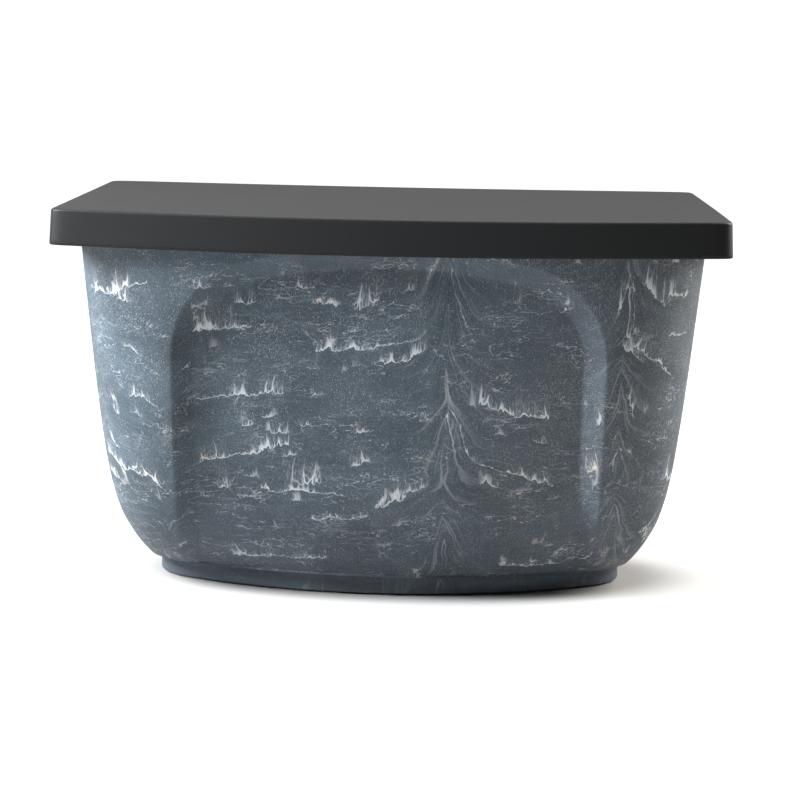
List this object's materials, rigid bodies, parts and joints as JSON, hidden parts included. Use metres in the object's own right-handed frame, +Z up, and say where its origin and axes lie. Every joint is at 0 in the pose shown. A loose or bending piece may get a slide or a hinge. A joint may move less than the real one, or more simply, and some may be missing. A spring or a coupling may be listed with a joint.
{
  "type": "resin wash tub",
  "caption": "Lidded moulded wash tub with an arched recess front and back, a sealed lift-off lid and a slotted lift-out steel basket with folding handles.",
  "frame": {"origin": "middle of the underside, on the surface that the tub stands on", "axes": "+Z up, X along the long side, the front faces -Y"},
  "size_m": [0.4, 0.28, 0.2382],
  "materials": {
    "marbled_plastic": "satin marbled",
    "lid_plastic": "fine matte texture",
    "pad_rubber": "matte",
    "seal_rubber": "silicone",
    "bumper_rubber": "silicone",
    "grip_rubber": "silicone",
    "basket_steel": "brushed",
    "lug_steel": "brushed",
    "wire_steel": "drawn wire"
  },
  "bodies": {
    "tub": {"tub_shell": "marbled_plastic", "foot_pads": "pad_rubber"},
    "lid": {"lid_shell": "lid_plastic", "lid_seal": "seal_rubber"},
    "basket": {"wash_basket": "basket_steel", "basket_feet": "bumper_rubber", "handle_lugs": "lug_steel"},
    "left_bail": {"left_handle": "wire_steel", "left_grip": "grip_rubber"},
    "right_bail": {"right_handle": "wire_steel", "right_grip": "grip_rubber"}
  },
  "joints": [
    {"name": "lid_lift", "type": "slide", "parent": "tub", "child": "lid", "axis": [0, 0, 1], "range_m": [0, 0.26]},
    {"name": "basket_lift", "type": "slide", "parent": "tub", "child": "basket", "axis": [0, 0, 1], "range_m": [0, 0.04]},
    {"name": "left_handle_swing", "type": "hinge", "parent": "basket", "child": "left_bail", "pos_m": [-0.153, 0, 0.1295], "axis": [0, -1, 0], "range_deg": [0, 90]},
    {"name": "right_handle_swing", "type": "hinge", "parent": "basket", "child": "right_bail", "pos_m": [0.153, 0, 0.1295], "axis": [0, 1, 0], "range_deg": [0, 90]}
  ]
}
